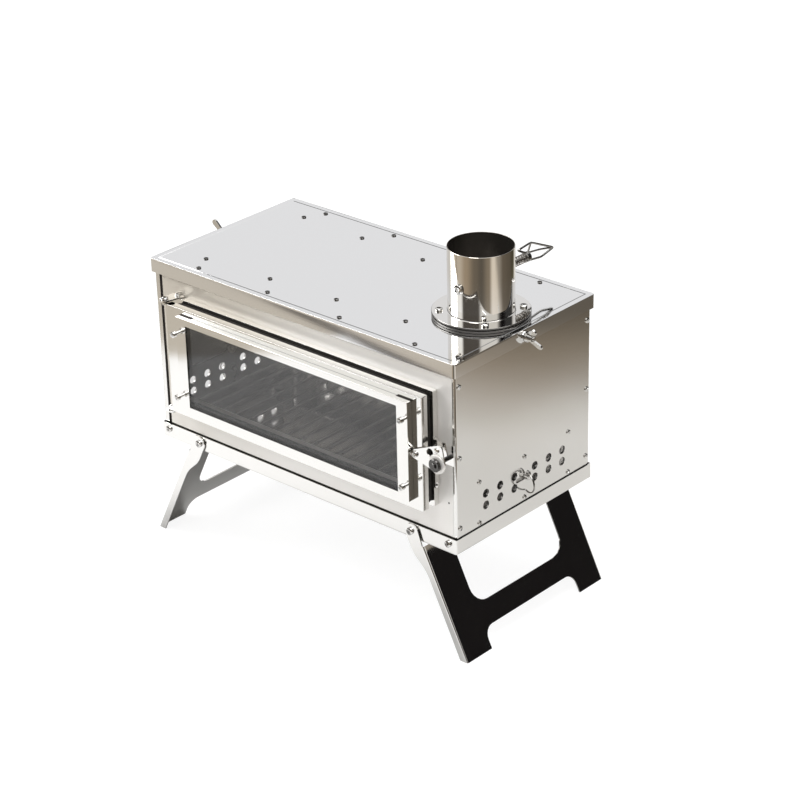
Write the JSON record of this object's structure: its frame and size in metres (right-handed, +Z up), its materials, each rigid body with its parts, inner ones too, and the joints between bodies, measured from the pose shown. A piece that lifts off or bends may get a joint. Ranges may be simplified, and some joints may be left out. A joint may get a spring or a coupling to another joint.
{
  "type": "tent wood stove",
  "caption": "box wood stove of polished sheet steel on two folding H legs, with a side-hinged glass door, latch, sliding air vents, flue collar and damper",
  "frame": {"origin": "on the floor, under the middle of the standing stove's overall box", "axes": "+Z up, -Y is the door side, +X to the right as the door is faced; the flue stands at the +X end"},
  "size_m": [0.4844, 0.2782, 0.4276],
  "materials": {
    "polished_steel": "mirror-polished stainless sheet",
    "brushed_steel": "fine satin stainless sheet",
    "tinted_steel": "polished stainless with a light straw heat tint",
    "screw_steel": "bright stainless fasteners and wire",
    "dark_steel": "dark polished steel",
    "spring_steel": "dull spring wire",
    "rope_seal": "black glass-fibre rope",
    "gasket_sheet": "matt dark graphite gasket sheet",
    "ceramic_glass": "clear heat-proof glass with a grey cast"
  },
  "bodies": {
    "stove": {"base_tray": "polished_steel", "left_side_panel": "polished_steel", "right_side_panel": "polished_steel", "front_panel": "polished_steel", "back_panel": "polished_steel", "door_surround": "polished_steel", "lid": "brushed_steel", "front_lid_rail": "brushed_steel", "back_lid_rail": "brushed_steel", "smoke_baffle": "brushed_steel", "collar_base_ring": "polished_steel", "collar_gasket": "gasket_sheet", "flue_collar": "tinted_steel", "flange_screw_1": "screw_steel", "flange_screw_2": "screw_steel", "flange_screw_3": "screw_steel", "flange_screw_4": "screw_steel", "upper_hinge_plate": "polished_steel", "upper_hinge_pin": "screw_steel", "lower_hinge_plate": "polished_steel", "lower_hinge_pin": "screw_steel", "latch_catch": "polished_steel", "log_grate": "brushed_steel", "left_front_leg_screw": "screw_steel", "left_back_leg_screw": "screw_steel", "right_front_leg_screw": "screw_steel", "right_back_leg_screw": "screw_steel", "left_front_tray_screw": "screw_steel", "left_back_tray_screw": "screw_steel", "right_front_tray_screw": "screw_steel", "right_back_tray_screw": "screw_steel", "left_wing_bolt": "screw_steel", "right_wing_bolt": "screw_steel"},
    "door": {"door_frame": "polished_steel", "door_seal": "rope_seal", "door_glass": "ceramic_glass", "glass_retainer": "polished_steel", "retainer_screw_1": "screw_steel", "retainer_screw_2": "screw_steel", "retainer_screw_3": "screw_steel", "retainer_screw_4": "screw_steel", "latch_screw": "screw_steel"},
    "latch": {"latch_plate": "polished_steel", "latch_knob": "dark_steel"},
    "damper": {"damper_plate": "dark_steel", "damper_shaft": "screw_steel", "damper_screw": "screw_steel", "damper_handle": "screw_steel", "damper_spring": "spring_steel"},
    "left_slider": {"left_air_slider": "brushed_steel", "left_slider_stud": "screw_steel"},
    "right_slider": {"right_air_slider": "brushed_steel", "right_slider_stud": "screw_steel"},
    "left_ring": {"left_split_ring": "dark_steel"},
    "right_ring": {"right_split_ring": "dark_steel"},
    "left_leg_frame": {"left_leg": "polished_steel"},
    "right_leg_frame": {"right_leg": "polished_steel"},
    "left_nut": {"left_wing_nut": "screw_steel"},
    "right_nut": {"right_wing_nut": "screw_steel"}
  },
  "joints": [
    {"name": "door_hinge", "type": "hinge", "parent": "stove", "child": "door", "pos_m": [-0.186, -0.11749, 0.2456], "axis": [0, 0, -1], "range_deg": [0, 120]},
    {"name": "latch_turn", "type": "hinge", "parent": "door", "child": "latch", "pos_m": [0.1912, -0.12434, 0.2464], "axis": [0, -1, 0], "range_deg": [0, 50]},
    {"name": "damper_turn", "type": "hinge", "parent": "stove", "child": "damper", "pos_m": [0.1635, 0.01591, 0.3888], "axis": [0, 1, 0], "range_deg": [0, 90]},
    {"name": "left_slider_travel", "type": "slide", "parent": "stove", "child": "left_slider", "axis": [0, -1, 0], "range_m": [0, 0.012]},
    {"name": "right_slider_travel", "type": "slide", "parent": "stove", "child": "right_slider", "axis": [0, -1, 0], "range_m": [0, 0.012]},
    {"name": "left_ring_swing", "type": "hinge", "parent": "left_slider", "child": "left_ring", "pos_m": [-0.2272, 0.01591, 0.1781], "axis": [-0.2419, 0.9703, 0], "range_deg": [0, 120]},
    {"name": "right_ring_swing", "type": "hinge", "parent": "right_slider", "child": "right_ring", "pos_m": [0.2272, 0.01591, 0.1781], "axis": [-0.2419, -0.9703, 0], "range_deg": [0, 120]},
    {"name": "left_leg_fold", "type": "hinge", "parent": "stove", "child": "left_leg_frame", "pos_m": [-0.1615, 0.01591, 0.1352], "axis": [0, -1, 0], "range_deg": [0, 116]},
    {"name": "right_leg_fold", "type": "hinge", "parent": "stove", "child": "right_leg_frame", "pos_m": [0.1615, 0.01591, 0.1352], "axis": [0, 1, 0], "range_deg": [0, 116]},
    {"name": "left_wing_nut_turn", "type": "hinge", "parent": "stove", "child": "left_nut", "pos_m": [-0.2253, 0.01591, 0.3398], "axis": [-1, 0, 0], "continuous": true},
    {"name": "right_wing_nut_turn", "type": "hinge", "parent": "stove", "child": "right_nut", "pos_m": [0.2253, 0.01591, 0.3398], "axis": [1, 0, 0], "continuous": true}
  ]
}
